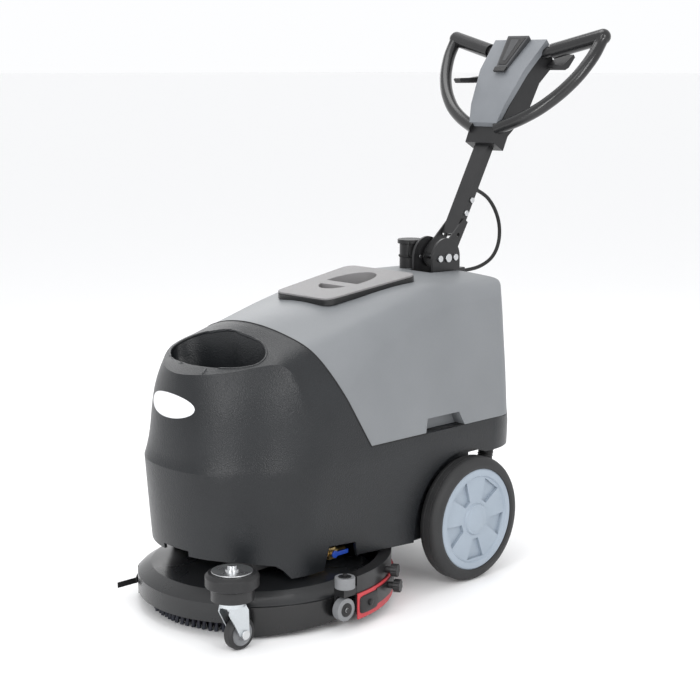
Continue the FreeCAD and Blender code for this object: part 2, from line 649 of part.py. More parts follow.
spigot = SimpleNamespace(radius=13, high=92, end=292)
node("squeegee_body", feature(squeegeeBody(), "squeegeeBody"))
node("rear_blade", feature(ringBand(ring + 0.2, ring + 0.2 + S.bladeThick, bladeLow, bladeHigh, 3.6, 172.8),
                            "rearBlade"))
node("front_blade", feature(ringBand(ring - 27.2, ring - 24.2, bladeLow + 2, 78, 8, 164), "frontBlade"))
strapInner = ring + 0.4 + S.bladeThick


def bladeStrap():
    """Steel strap over the blade, in plates joined by a narrow band."""
    strap = ringBand(strapInner, strapInner + 1.5, bladeLow + 24, bladeLow + 36, 14, 152)
    for start in (16, 46, 76, 106, 136):
        strap = strap.fuse(ringBand(strapInner, strapInner + 2, bladeLow + 14, bladeHigh - 5, start, 22))
    return strap


node("blade_strap", feature(bladeStrap(), "bladeStrap"))


def knob(name, angle, height, reach):
    """Hand knob with flutes, turning on the ring's radius at an angle."""
    turn = Rotation(Vector(0, 0, 1), angle) * Rotation(Vector(0, 1, 0), 90)
    shape = rod(S.knobRadius, 13, (0, 0, 11)).fuse(rod(6.5, 11, (0, 0, 0)))
    for i in range(8):
        t = 2 * math.pi * i / 8
        shape = shape.cut(rod(2.6, 14, (S.knobRadius * 1.08 * math.cos(t), S.knobRadius * 1.08 * math.sin(t), 10.5)))
    radial = Rotation(Vector(0, 0, 1), angle).multVec(Vector(reach, 0, height))
    return node(name, feature(shape, name.replace("_", ""), Placement(radial, turn)))


for sideName, angle in (("left", 28), ("right", 152)):
    knob(f"clamp_knob_{sideName}_upper", angle, 82, ring + 0.3)
    knob(f"clamp_knob_{sideName}_lower", angle, 52, strapInner + 2.3)
    side = "" if sideName == "left" else "-"
    node(f"side_roller_{sideName}", cut(cylinder("rollerRadius", "21", (f"{side}rollerX", "-8", "83")), [
        cylinder("4 + runClearance", "40", (f"{side}rollerX", "-8", "70"))], f"sideRoller{sideName}"))
    low = "squeegeeRadius - 18.5" if sideName == "left" else "2.5 - squeegeeRadius"
    node(f"support_wheel_{sideName}", cut(cylinder("supportRadius", "16", (low, "-8", "41"), alongX), [
        cylinder("4 + runClearance", "90", (f"{low} - 30", "-8", "41"), alongX)], f"supportWheel{sideName}"))
node("squeegee_hanger", cut(fuse([
    box("180", "36", "6", ("-90", "218", "100.2")), cylinder("8", "38", ("-60", "235", "104")),
    cylinder("8", "38", ("60", "235", "104"))], "hangerPlate"), [
    box("36", "40", "30", ("-18", "238", "90"))], "squeegeeHanger"))

# ---- what stands on the tank: strainer, lid, filter cup

floorOfBowl = 418
node("fill_strainer", cut(fuse([
    cylinder(f"{strainer.flange}", "2", ("0", f"{strainer.y}", f"{floorOfBowl}")),
    cylinder(f"{strainer.radius} - runClearance", "36", ("0", f"{strainer.y}", f"{floorOfBowl - 34}"))],
    "strainerBasket"), [
    cylinder(f"{strainer.radius} - 2", "40", ("0", f"{strainer.y}", f"{floorOfBowl - 32}"))], "fillStrainer"))


def lidSeal():
    """Moulded rubber band on its seat: the black edge under the lid's plate."""
    base = lidPlate(0, -3, 1).cut(lidPlate(21.5, -20, 20))
    return base.fuse(lidPlate(0, 0, lid.seal).cut(lidPlate(lid.band, -20, 20)))


def tankLid():
    """Lid plate with its plug and an oval hand recess, crossed by a grip bar."""
    plate = lidPlate(1, lid.seal, lid.seal + lid.plate).fuse(lidPlate(lid.band, 1, lid.seal))
    plate = plate.fuse(lidPlate(22 + S.lidGap, -16, 1.5))
    middle = 0.5 * (lid.front + lid.back) + 14
    recess = Part.Face(Part.Wire(Part.Ellipse(Vector(), 68, 44).toShape())).extrude(Vector(0, 0, 60))
    recess.rotate(Vector(), Vector(0, 0, 1), 90)
    recess = recess.cut(block(-48, 48, -40, -16, 0, 60))
    drop = (lid.back - middle) * math.tan(lidSlope)
    recess.translate(Vector(0, middle, S.tankTop - drop - 9))
    return plate.cut(recess)


node("lid_seal", feature(lidSeal(), "lidSeal"))
node("tank_lid", feature(tankLid(), "tankLid"))
at = (f"{cup.x}", f"{cup.y}", f"{cup.low}")
node("filter_cup", cut(cylinder(f"{cup.radius}", f"{cup.high - cup.low}", at), [
    cylinder(f"{cup.radius} - 2.5", "80", (at[0], at[1], f"{cup.low + 3}"))], "filterCup"))
node("cup_cap", fuse([
    cylinder(f"{cup.radius} + 4.5", "9", (at[0], at[1], f"{cup.high} + gap")),
    cylinder(f"{cup.radius} - 3", "10", (at[0], at[1], f"{cup.high} - 9"))], "cupCap"))

# ---- handle: column, bracket, post, head and loops

columnHalf = S.bracketHalf - S.plateThick


def handleColumn():
    column = block(-columnHalf, columnHalf, columnFront, columnBack, 256, columnTop)
    column = column.fuse(block(-columnHalf, columnHalf, columnBack - 20, columnBack, columnTop - 5, 600))
    return column.cut(block(-columnHalf + 4, columnHalf - 4, columnFront + 4, columnBack - 24, 250, columnTop - 6))


def handleBracket():
    """Two plates with half-round tops, bolted outside the column and carrying the fold pin."""
    plates = []
    middle, reach = 506, 42
    for low in (columnHalf, -S.bracketHalf):
        plate = block(low, low + S.plateThick, middle - reach, middle + reach, columnTop - 15, S.pivotZ)
        plate = plate.fuse(rod(reach, S.plateThick, (low, middle, S.pivotZ), (1, 0, 0)))
        for y, radius in boltSpots:
            plate = plate.cut(rod(radius + 0.05, 20, (low - 5, y, S.pivotZ), (1, 0, 0)))
        plates.append(plate)
    return Part.makeCompound(plates)


boltSpots = [(S.pivotY - 25, 4), (S.pivotY, 6), (S.pivotY + 22, 4)]


def bracketBolts():
    half = S.bracketHalf
    pin = rod(6, 2 * half + 8, (-half - 4, S.pivotY, S.pivotZ), (1, 0, 0))
    bolts = []
    for side in (1, -1):
        pin = pin.fuse(rod(9, 4, (side * half, S.pivotY, S.pivotZ), (side, 0, 0)))
        for y, radius in (boltSpots[0], boltSpots[2]):
            shank = rod(radius, S.plateThick + 2, (side * columnHalf, y, S.pivotZ), (side, 0, 0))
            bolts.append(shank.fuse(rod(7, 4, (side * half, y, S.pivotZ), (side, 0, 0))))
    return Part.makeCompound([pin] + bolts)


node("handle_column", feature(handleColumn(), "handleColumn"))
node("handle_bracket", feature(handleBracket(), "handleBracket"))
node("bracket_bolts", feature(bracketBolts(), "bracketBolts"))

lean = math.radians(S.handleLean)
along, across = Vector(0, math.sin(lean), math.cos(lean)), Vector(0, math.cos(lean), -math.sin(lean))
postFoot = Vector(0, S.pivotY + 43.5, S.pivotZ + 65)
postEnd = 190


def postPoint(x, length, depth):
    """A point beside the post: across it, along it from its foot, and back from its front face."""
    return Vector(x, 0, 0) + postFoot + along * length + across * depth


def handlePost():
    half = S.postWidth / 2
    corners = [postPoint(-half, t, d) for t, d in ((-20, 0), (postEnd, 0), (postEnd, S.postDepth), (-20, S.postDepth))]
    post = Part.Face(Part.makePolygon(corners + corners[:1])).extrude(Vector(S.postWidth, 0, 0))
    y, z = S.pivotY, S.pivotZ
    cheek = [(y - 18, z + 12), (y - 8, z + 25), (y + 14, z + 40), (y + 44, z + 66), (y + 58, z + 78), (y + 71, z + 70),
             (y + 38, z + 16), (y + 18, z - 14), (y - 10, z - 19)]
    for low in (half, -half - 3):
        side = sidePrism(cheek, low, low + 3).fuse(rod(21, 3, (low, y, z), (1, 0, 0)))
        post = post.fuse(side)
    post = post.cut(rod(6.05, 80, (-40, y, z), (1, 0, 0)))
    return post.cut(rod(4, 80, (-40, y + 41, z + 45), (1, 0, 0))).removeSplitter()


def postBolts():
    half = S.postWidth / 2
    bolts = [rod(6, 4, (half, S.pivotY + y, S.pivotZ + z), (1, 0, 0)) for y, z in ((85, 115), (67, 89))]
    return Part.makeCompound(bolts)


def quadLoft(sections):
    """A ruled solid through (front y, front z, rear y, rear z, half width) sections."""
    wires = []
    for fy, fz, ry, rz, half in sections:
        corners = [Vector(-half, fy, fz), Vector(half, fy, fz), Vector(half, ry, rz), Vector(-half, ry, rz)]
        wires.append(Part.makePolygon(corners + corners[:1]))
    return Part.makeLoft(wires, True, True)


headFoot = [postPoint(0, postEnd, depth) for depth in (-9, S.postDepth + 9)]
housingSections = [(headFoot[0].y, headFoot[0].z, headFoot[1].y, headFoot[1].z, 40), (655, 893, 684, 872, 41),
                   (677, 934, 742, 925, 49), (721, 1003, 764, 984, 60), (781, 1066, 804, 1024, 68)]
coverFronts = [(649, 902, 38), (664, 940, 47), (709, 1012, 62), (771, 1077, 72)]


def headHousing():
    housing = quadLoft(housingSections)
    return housing.cut(rod(3 + S.runClearance, 300, (-150, paddle.y, paddle.z), (1, 0, 0)))


def headCover():
    backs = [s[:2] for s in housingSections[1:]]
    return quadLoft([(fy, fz, by, bz, half) for (fy, fz, half), (by, bz) in zip(coverFronts, backs)])


paddle = SimpleNamespace(y=784, z=1018, low=70, high=112)
node("handle_post", feature(handlePost(), "handlePost"))
node("post_bolts", feature(postBolts(), "postBolts"))
node("head_housing", feature(headHousing(), "headHousing"))
node("head_cover", feature(headCover(), "headCover"))
node("control_panel", feature(quadLoft([(704, 1017, 709, 1012, 14), (763, 1086, 771, 1077, 30)]), "controlPanel"))


def tubePath(points):
    """Straight runs joined by tangent arcs, each as large as its two runs allow."""
    points = [Vector(*p) for p in points]
    edges, radii, last = [], [], points[0]
    for before, here, after in zip(points, points[1:], points[2:]):
        coming, going = (here - before), (after - here)
        turn = coming.getAngle(going)
        reach = 0.45 * min(coming.Length, going.Length)
        radii.append(reach / math.tan(turn / 2))
        coming.normalize()
        going.normalize()
        first, final = here - coming * reach, here + going * reach
        bulge = (going - coming).normalize()
        middle = here + bulge * (radii[-1] / math.cos(turn / 2) - radii[-1])
        edges += [Part.LineSegment(last, first), Part.Arc(first, middle, final)]
        last = final
    edges.append(Part.LineSegment(last, points[-1]))
    return Part.Wire([edge.toShape() for edge in edges]), radii


def tube(name, points, radius):
    path, radii = tubePath(points)
    start = path.Edges[0]
    ring = Part.Wire(Part.makeCircle(radius, Vector(*points[0]), start.tangentAt(start.FirstParameter)))
    solid = path.makePipeShell([ring], True, False)
    expected = math.pi * radius ** 2 * path.Length
    print(name, "radii", [round(r) for r in radii], "volume ratio", round(solid.Volume / expected, 4))
    return solid


loopFoot, loopHead = Vector(0, 650, 878), Vector(0, 791, 1081)
loopSlope = (loopHead - loopFoot).normalize()
barInner, barOuter = Vector(87, 774, 1052), Vector(205, 791, 1081)


def handLoop(side):
    """D-shaped hand loop: a straight grip bar and a tube that bends back to the head."""
    route = [(205, 246), (204, 202), (188, 150), (160, 104), (122, 64), (80, 36), (30, 13)]
    points = [Vector(side * x, 0, 0) + loopFoot + loopSlope * q for x, q in route]
    loop = tube("hand loop", points, S.loopRadius)
    bar = barOuter - barInner
    inner, outer = Vector(side * barInner.x, barInner.y, barInner.z), Vector(side * barOuter.x, barOuter.y, barOuter.z)
    direction = Vector(side * bar.x, bar.y, bar.z)
    loop = loop.fuse(Part.makeCylinder(S.gripRadius, bar.Length, inner, direction))
    loop = loop.fuse(Part.makeSphere(S.gripRadius, outer))
    loop = loop.fuse(Part.makeCylinder(S.gripRadius - 5, 40, inner - direction * (38 / bar.Length), direction))
    return loop.cut(nodes["head_housing"].Shape).cut(nodes["head_cover"].Shape)


node("handle_loops", feature(Part.makeCompound([handLoop(1), handLoop(-1)]), "handleLoops"))


def paddleLever(side):
    """Flat trigger behind the grip bar, on a pin in the head's side."""
    y, z = paddle.y, paddle.z
    low, high = sorted((side * paddle.low, side * paddle.high))
    blade = sidePrism([(y - 6, z + 4), (y + 2, z + 9), (y + 30, z + 27), (y + 35, z + 21), (y + 14, z - 1),
                       (y + 2, z - 6)], low, high)
    return blade.fuse(rod(3, 30, (side * (paddle.low - 20), y, z), (side, 0, 0)))


node("paddle_left", feature(paddleLever(1), "paddleLeft"))
node("paddle_right", feature(paddleLever(-1), "paddleRight"))


def fingerLever():
    """Finger lever on the far side of the head, with serrations under its tip."""
    lever = block(-84, -72, 650, 722, 989, 994).fuse(rod(9, 10, (-84, 722, 991.5), (1, 0, 0)))
    for i in range(5):
        lever = lever.cut(sidePrism([(654 + 7 * i, 989), (657 + 7 * i, 991), (660 + 7 * i, 989)], -90, -60))
    return lever.fuse(rod(4, 14, (-74, 722, 991.5), (1, 0, 0)))


node("finger_lever", feature(fingerLever(), "fingerLever"))

# ---- cable and hose, held at both ends

cableRoute = [(0, 616, 764.6), (0, 655, 752), (0, 690, 722), (0, 711, 682), (0, 711, 640), (0, 690, 608), (0, 650, 592),
              (0, 610, 588), (0, columnBack, 588)]
node("control_cable", feature(tube("cable", cableRoute, S.cableRadius).cut(nodes["handle_post"].Shape), "controlCable"))
hoseRoute = [(hose.x, hose.y, hose.top - 22), (hose.x, hose.y, 320), (hose.x - 2, hose.y - 2, 245), (hose.x, 540, 190),
             (hose.x - 4, 514, 140), (hose.x - 16, 476, 102), (hose.x - 38, 430, 82), (hose.x - 66, 386, 78),
             (hose.x - 94, 352, 84), (0, 325, spigot.high), (0, spigot.end + S.gap, spigot.high)]
node("suction_hose", feature(tube("hose", hoseRoute, S.hoseRadius), "suctionHose"))
top = f"{hose.top}"
node("suction_elbow", cut(fuse([
    cylinder("hoseRadius + 2", "64", (f"{hose.x}", f"{hose.y}", f"{hose.top} - 49")),
    cylinder(f"{hose.port} + 2", f"{hose.y} - tankBack - 0.5", (f"{hose.x}", "tankBack + 0.5", top), alongY)],
    "elbowBody"), [
    cylinder("hoseRadius + runClearance", "40", (f"{hose.x}", f"{hose.y}", f"{hose.top} - 62")),
    cylinder(f"{hose.port} - 1", "30", (f"{hose.x}", "tankBack - 10", top), alongY),
    cylinder("hoseRadius - 4", "30", (f"{hose.x}", f"{hose.y}", f"{hose.top} - 30"))], "suctionElbow"))

# ---- every object sound before anything is written

doc.recompute()
for thing in doc.Objects:
    if {"Invalid", "Error"} & set(thing.State):
        raise RuntimeError(f"{thing.Label} could not be built")
for name, thing in nodes.items():
    if thing.Shape.isNull() or not thing.Shape.isValid():
        raise RuntimeError(f"{name} has no sound shape")
os.makedirs("parts", exist_ok=True)
for name, thing in nodes.items():
    thing.Shape.exportStep(f"parts/{name}.step")
print(len(nodes), "nodes written")
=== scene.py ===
import json
import math

import bmesh
import bpy
import numpy as np
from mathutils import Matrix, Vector
from mathutils.bvhtree import BVHTree


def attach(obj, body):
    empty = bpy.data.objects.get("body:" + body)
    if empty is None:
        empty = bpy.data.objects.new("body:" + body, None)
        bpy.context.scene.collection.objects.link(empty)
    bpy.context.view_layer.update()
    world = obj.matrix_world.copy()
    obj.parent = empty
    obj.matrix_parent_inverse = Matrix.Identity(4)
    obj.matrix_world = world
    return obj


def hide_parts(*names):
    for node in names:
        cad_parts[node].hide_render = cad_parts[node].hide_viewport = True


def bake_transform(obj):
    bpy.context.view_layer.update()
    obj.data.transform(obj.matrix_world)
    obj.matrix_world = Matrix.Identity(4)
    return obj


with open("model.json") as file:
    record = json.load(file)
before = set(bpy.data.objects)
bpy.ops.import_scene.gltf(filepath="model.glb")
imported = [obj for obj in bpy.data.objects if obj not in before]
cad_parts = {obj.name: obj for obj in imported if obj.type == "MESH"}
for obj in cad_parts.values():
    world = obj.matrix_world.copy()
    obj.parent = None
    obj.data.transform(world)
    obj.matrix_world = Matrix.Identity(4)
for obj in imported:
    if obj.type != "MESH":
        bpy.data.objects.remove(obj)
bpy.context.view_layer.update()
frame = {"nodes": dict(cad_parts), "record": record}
bodyOf = {name: body for body, names in frame["record"]["behaviour"]["bodies"].items() for name in names}
print("frame loaded:", len(frame["nodes"]), "nodes")

# Camera, lights and floor

studio = {
    "camera": (2.20115, -1.88881, 1.01967), "turn": 45.78, "drop": 10.37, "lens": 79.67, "sensor": 36,
    "floorSize": 400, "floorColour": (0.95, 0.95, 0.953), "floorRough": 0.7,
    "skyColour": (0.985, 0.99, 1.0), "skyStrength": 1.0,
}
lamps = {  # place, aim, width, height, power
    "keyLight": ((1.6, -2.4, 2.9), (0, 0, 0.4), 1.2, 1.2, 13),
    "noseLight": ((0.85, -2.55, 1.25), (0.1, -0.16, 0.44), 0.55, 1.5, 23),
    "sideLight": ((2.65, -0.45, 1.4), (0.16, -0.07, 0.45), 0.6, 1.5, 23),
    "topLight": ((-0.4, 0.4, 3.0), (0, 0.2, 0.5), 1.6, 1.6, 26),
    "backLight": ((-2.4, 1.6, 1.9), (0, 0.2, 0.5), 1.6, 1.6, 14),
}


def makeStudio():
    scene = bpy.context.scene
    camera = bpy.data.objects.new("camera", bpy.data.cameras.new("camera"))
    scene.collection.objects.link(camera)
    camera.location = studio["camera"]
    camera.rotation_euler = (math.radians(90 - studio["drop"]), 0, math.radians(studio["turn"]))
    camera.data.lens = studio["lens"]
    camera.data.sensor_width = studio["sensor"]
    scene.camera = camera
    for name, (place, aim, wide, tall, power) in lamps.items():
        light = bpy.data.lights.new(name, "AREA")
        light.shape = "RECTANGLE"
        light.size = wide
        light.size_y = tall
        light.energy = power
        lamp = bpy.data.objects.new(name, light)
        scene.collection.objects.link(lamp)
        lamp.location = place
        lamp.rotation_euler = (Vector(aim) - Vector(place)).to_track_quat("-Z", "Y").to_euler()
    world = bpy.data.worlds.new("studio")
    world.use_nodes = True
    sky = world.node_tree.nodes["Background"]
    sky.inputs["Color"].default_value = (*studio["skyColour"], 1)
    sky.inputs["Strength"].default_value = studio["skyStrength"]
    scene.world = world
    half = studio["floorSize"] / 2
    mesh = bpy.data.meshes.new("floor")
    corners = [(-half, -half, 0), (half, -half, 0), (half, half, 0), (-half, half, 0)]
    mesh.from_pydata(corners, [], [(0, 1, 2, 3)])
    floor = bpy.data.objects.new("floor", mesh)
    scene.collection.objects.link(floor)
    paint = bpy.data.materials.new("floorPaint")
    paint.use_nodes = True
    shader = paint.node_tree.nodes["Principled BSDF"]
    shader.inputs["Base Color"].default_value = (*studio["floorColour"], 1)
    shader.inputs["Roughness"].default_value = studio["floorRough"]
    mesh.materials.append(paint)
    scene.view_settings.view_transform = "Standard"


makeStudio()
print("studio ready")

# Materials: every one mixes two tones by a coarse noise and breaks its gloss with a fine one

# Each row: colour, second tone, roughness, metallic, specular, coarse scale, grain scale, grain
# height, coat.
finishes = {
    "bodyBlack": ((0.0070, 0.0080, 0.0094), (0.0125, 0.0140, 0.0160), 0.33, 0, 0.36, 6, 420, 0.80, 0.0),
    "tankGrey": ((0.160, 0.169, 0.178), (0.187, 0.196, 0.206), 0.42, 0, 0.40, 5, 700, 0.16, 0.0),
    "lidGrey": ((0.175, 0.171, 0.174), (0.225, 0.220, 0.222), 0.50, 0, 0.40, 9, 600, 0.40, 0.0),
    "blackPlastic": ((0.0100, 0.0100, 0.0108), (0.0160, 0.0160, 0.0168), 0.40, 0, 0.35, 20, 900,
                     0.25, 0.0),
    "glossBlack": ((0.0075, 0.0076, 0.0082), (0.0110, 0.0111, 0.0117), 0.25, 0, 0.42, 12, 120, 0.01,
                   0.25),
    "headGrey": ((0.150, 0.160, 0.174), (0.176, 0.187, 0.202), 0.42, 0, 0.40, 12, 700, 0.16, 0.0),
    "panelGrey": ((0.0330, 0.0340, 0.0370), (0.0420, 0.0430, 0.0460), 0.44, 0, 0.40, 16, 800, 0.30,
                  0.0),
    "deckBlack": ((0.0085, 0.0092, 0.0102), (0.0130, 0.0138, 0.0150), 0.27, 0, 0.45, 9, 380, 0.20,
                  0.12),
    "paintBlack": ((0.0100, 0.0100, 0.0108), (0.0140, 0.0140, 0.0148), 0.33, 0, 0.38, 25, 500, 0.18,
                   0.1),
    "rubber": ((0.0090, 0.0090, 0.0092), (0.0150, 0.0150, 0.0152), 0.55, 0, 0.32, 16, 600, 0.30, 0.0),
    "glossRubber": ((0.0070, 0.0070, 0.0074), (0.0110, 0.0110, 0.0114), 0.25, 0, 0.45, 16, 300,
                    0.08, 0.1),
    "tyreRubber": ((0.0170, 0.0172, 0.0178), (0.0260, 0.0262, 0.0268), 0.55, 0, 0.35, 14, 520, 0.32,
                   0.0),
    "redRubber": ((0.400, 0.030, 0.040), (0.500, 0.048, 0.056), 0.42, 0, 0.40, 20, 600, 0.14, 0.0),
    "wheelGrey": ((0.268, 0.315, 0.368), (0.304, 0.352, 0.408), 0.42, 0, 0.40, 10, 700, 0.16, 0.0),
    "rollerGrey": ((0.160, 0.165, 0.172), (0.205, 0.210, 0.218), 0.46, 0, 0.40, 25, 700, 0.25, 0.0),
    "steel": ((0.56, 0.57, 0.58), (0.66, 0.67, 0.68), 0.27, 1, 0.50, 30, 500, 0.02, 0.0),
    "zinc": ((0.50, 0.53, 0.55), (0.60, 0.63, 0.65), 0.34, 1, 0.50, 22, 300, 0.05, 0.0),
    "brass": ((0.52, 0.38, 0.16), (0.62, 0.46, 0.22), 0.30, 1, 0.50, 30, 500, 0.03, 0.0),
    "bluePlastic": ((0.010, 0.050, 0.340), (0.016, 0.070, 0.420), 0.32, 0, 0.45, 20, 500, 0.06, 0.2),
    # bristle: dark navy, made darker towards black as painted shade under the deck
    "bristle": ((0.0090, 0.0110, 0.0190), (0.0150, 0.0180, 0.0300), 0.55, 0, 0.35, 60, 700, 0.20, 0.0),
    "brushPlate": ((0.040, 0.040, 0.042), (0.060, 0.060, 0.062), 0.50, 0, 0.40, 12, 600, 0.20, 0.0),
    "motorPaint": ((0.020, 0.021, 0.024), (0.032, 0.033, 0.036), 0.40, 0, 0.40, 16, 400, 0.20, 0.0),
    "plateWhite": ((0.70, 0.71, 0.73), (0.78, 0.79, 0.81), 0.28, 0, 0.45, 20, 300, 0.02, 0.3),
}
materials = {}
surface = {  # shared by all finishes
    "coatRough": 0.12, "cloudDetail": 5, "speckDetail": 2, "speckShare": 0.45, "mixFrom": 0.5,
    "mixTo": 0.95,
    "glossBelow": 0.07, "glossAbove": 0.09, "leastRough": 0.05, "bumpDepth": 0.0009,
}


def makeMaterial(name):
    colour, second, rough, metallic, specular, coarse, grain, height, coat = finishes[name]
    made = bpy.data.materials.new(name)
    made.use_nodes = True
    nodes, links = made.node_tree.nodes, made.node_tree.links
    shader = nodes["Principled BSDF"]
    shader.inputs["Metallic"].default_value = metallic
    shader.inputs["Specular IOR Level"].default_value = specular
    shader.inputs["Coat Weight"].default_value = coat
    shader.inputs["Coat Roughness"].default_value = surface["coatRough"]
    place = nodes.new("ShaderNodeTexCoord")
    cloud, speck = nodes.new("ShaderNodeTexNoise"), nodes.new("ShaderNodeTexNoise")
    for node, scale, detail in ((cloud, coarse, surface["cloudDetail"]),
                                (speck, grain, surface["speckDetail"])):
        node.inputs["Scale"].default_value = scale
        node.inputs["Detail"].default_value = detail
        links.new(place.outputs["Object"], node.inputs["Vector"])
    tone = nodes.new("ShaderNodeMix")
    tone.data_type = "RGBA"
    tone.inputs["A"].default_value = (*colour, 1)
    tone.inputs["B"].default_value = (*second, 1)
    blend = nodes.new("ShaderNodeMath")
    blend.operation = "MULTIPLY_ADD"
    blend.inputs[1].default_value = surface["speckShare"]
    links.new(speck.outputs["Fac"], blend.inputs[0])
    links.new(cloud.outputs["Fac"], blend.inputs[2])
    spread = nodes.new("ShaderNodeMapRange")
    spread.inputs["From Min"].default_value = surface["mixFrom"]
    spread.inputs["From Max"].default_value = surface["mixTo"]
    links.new(blend.outputs["Value"], spread.inputs["Value"])
    links.new(spread.outputs["Result"], tone.inputs["Factor"])
    links.new(tone.outputs["Result"], shader.inputs["Base Color"])
    gloss = nodes.new("ShaderNodeMapRange")
    gloss.inputs["To Min"].default_value = max(surface["leastRough"], rough - surface["glossBelow"])
    gloss.inputs["To Max"].default_value = rough + surface["glossAbove"]
    links.new(cloud.outputs["Fac"], gloss.inputs["Value"])
    links.new(gloss.outputs["Result"], shader.inputs["Roughness"])
    bump = nodes.new("ShaderNodeBump")
    bump.inputs["Strength"].default_value = height
    bump.inputs["Distance"].default_value = surface["bumpDepth"]
    links.new(speck.outputs["Fac"], bump.inputs["Height"])
    links.new(bump.outputs["Normal"], shader.inputs["Normal"])
    materials[name] = made


for finishName in finishes:
    makeMaterial(finishName)
print("materials ready:", len(materials))

# Helpers for pieces


def addPiece(name, mesh, finish, body):
    mesh.materials.clear()
    mesh.materials.append(materials[finish])
    piece = bpy.data.objects.new(name, mesh)
    bpy.context.scene.collection.objects.link(piece)
    if body:
        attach(piece, body)
    return piece


def softenEdges(piece, width, angle=30, harden=False):
    soft = piece.modifiers.new("softEdge", "BEVEL")
    soft.width = width
    soft.segments = 3
    soft.limit_method = "ANGLE"
    soft.angle_limit = math.radians(angle)
    soft.harden_normals = harden


def gridMesh(name, points, closeRound=True, caps=True):
    # Mesh over an array of rings (ring, place round it, xyz), joined face to face, with its ends
    # filled.
    rings, around = points.shape[:2]
    i, j = np.meshgrid(np.arange(rings - 1), np.arange(around if closeRound else around - 1),
                       indexing="ij")
    k = (j + 1) % around
    quads = np.stack([i * around + j, i * around + k, (i + 1) * around + k, (i + 1) * around + j], -1)
    faces = quads.reshape(-1, 4).tolist()
    if caps and closeRound:
        faces += [list(range(around))[::-1], list(range((rings - 1) * around, rings * around))]
    mesh = bpy.data.meshes.new(name)
    mesh.from_pydata(points.reshape(-1, 3).tolist(), [], faces)
    mesh.validate()
    orient(mesh)
    return mesh


def orient(mesh, angle=35):
    # Faces outwards, smooth but for edges sharper than the angle.
    shape = bmesh.new()
    shape.from_mesh(mesh)
    bmesh.ops.remove_doubles(shape, verts=shape.verts, dist=1e-6)
    bmesh.ops.recalc_face_normals(shape, faces=shape.faces)
    for edge in shape.edges:
        edge.smooth = len(edge.link_faces) == 2 and edge.calc_face_angle(0) < math.radians(angle)
    for face in shape.faces:
        face.smooth = True
    shape.to_mesh(mesh)
    shape.free()


def axes(direction):
    # Two unit vectors square to the direction and to each other.
    direction = np.array(direction, float)
    direction /= np.linalg.norm(direction)
    side = np.cross(direction, (0, 0, 1) if abs(direction[2]) < 0.9 else (0, 1, 0))
    side /= np.linalg.norm(side)
    return direction, side, np.cross(direction, side)


def lathe(name, profile, centre, direction, around=64):
    # Profile of (radius, height) pairs turned about a direction through the centre.
    profile = np.array(profile, float)
    up, side, other = axes(direction)
    turn = np.arange(around) * 2 * math.pi / around
    ring = np.cos(turn)[:, None] * side + np.sin(turn)[:, None] * other
    points = np.array(centre, float) + profile[:, None, :1] * ring + profile[:, None, 1:] * up
    return gridMesh(name, points)


def centreline(points, samples=24):
    # Points along the NURBS spline that the control points make.
    curve = bpy.data.curves.new("route", "CURVE")
    curve.dimensions = "3D"
    spline = curve.splines.new("NURBS")
    spline.points.add(len(points) - 1)
    for point, place in zip(spline.points, points):
        point.co = (*place, 1)
    spline.order_u = 3
    spline.use_endpoint_u = True
    spline.resolution_u = samples
    holder = bpy.data.objects.new("route", curve)
    line = bpy.data.meshes.new_from_object(holder)
    found = np.array([v.co for v in line.vertices])
    bpy.data.objects.remove(holder)
    return found


def sweep(name, line, radius, around=20):
    # A tube along a line, its radius given at every point; the ring is carried along without twist.
    tangent = np.gradient(line, axis=0)
    tangent /= np.linalg.norm(tangent, axis=1)[:, None]
    side = axes(tangent[0])[1]
    sides = []
    for t in tangent:
        side = side - t * (side @ t)
        side = side / np.linalg.norm(side)
        sides.append(side)
    sides = np.array(sides)
    other = np.cross(tangent, sides)
    turn = np.arange(around) * 2 * math.pi / around
    radius = np.broadcast_to(radius, len(line))[:, None, None]
    points = line[:, None] + radius * (np.cos(turn)[None, :, None] * sides[:, None]
                                       + np.sin(turn)[None, :, None] * other[:, None])
    return gridMesh(name, points)


def resample(line, step):
    # The same line with points a fixed step apart.
    along = np.r_[0, np.cumsum(np.linalg.norm(np.diff(line, axis=0), axis=1))]
    places = np.linspace(0, along[-1], max(2, int(along[-1] / step)))
    return np.stack([np.interp(places, along, line[:, c]) for c in range(3)], 1), places


# Carried-over pieces: each CAD node's surface, merged, smoothed and given soft edges

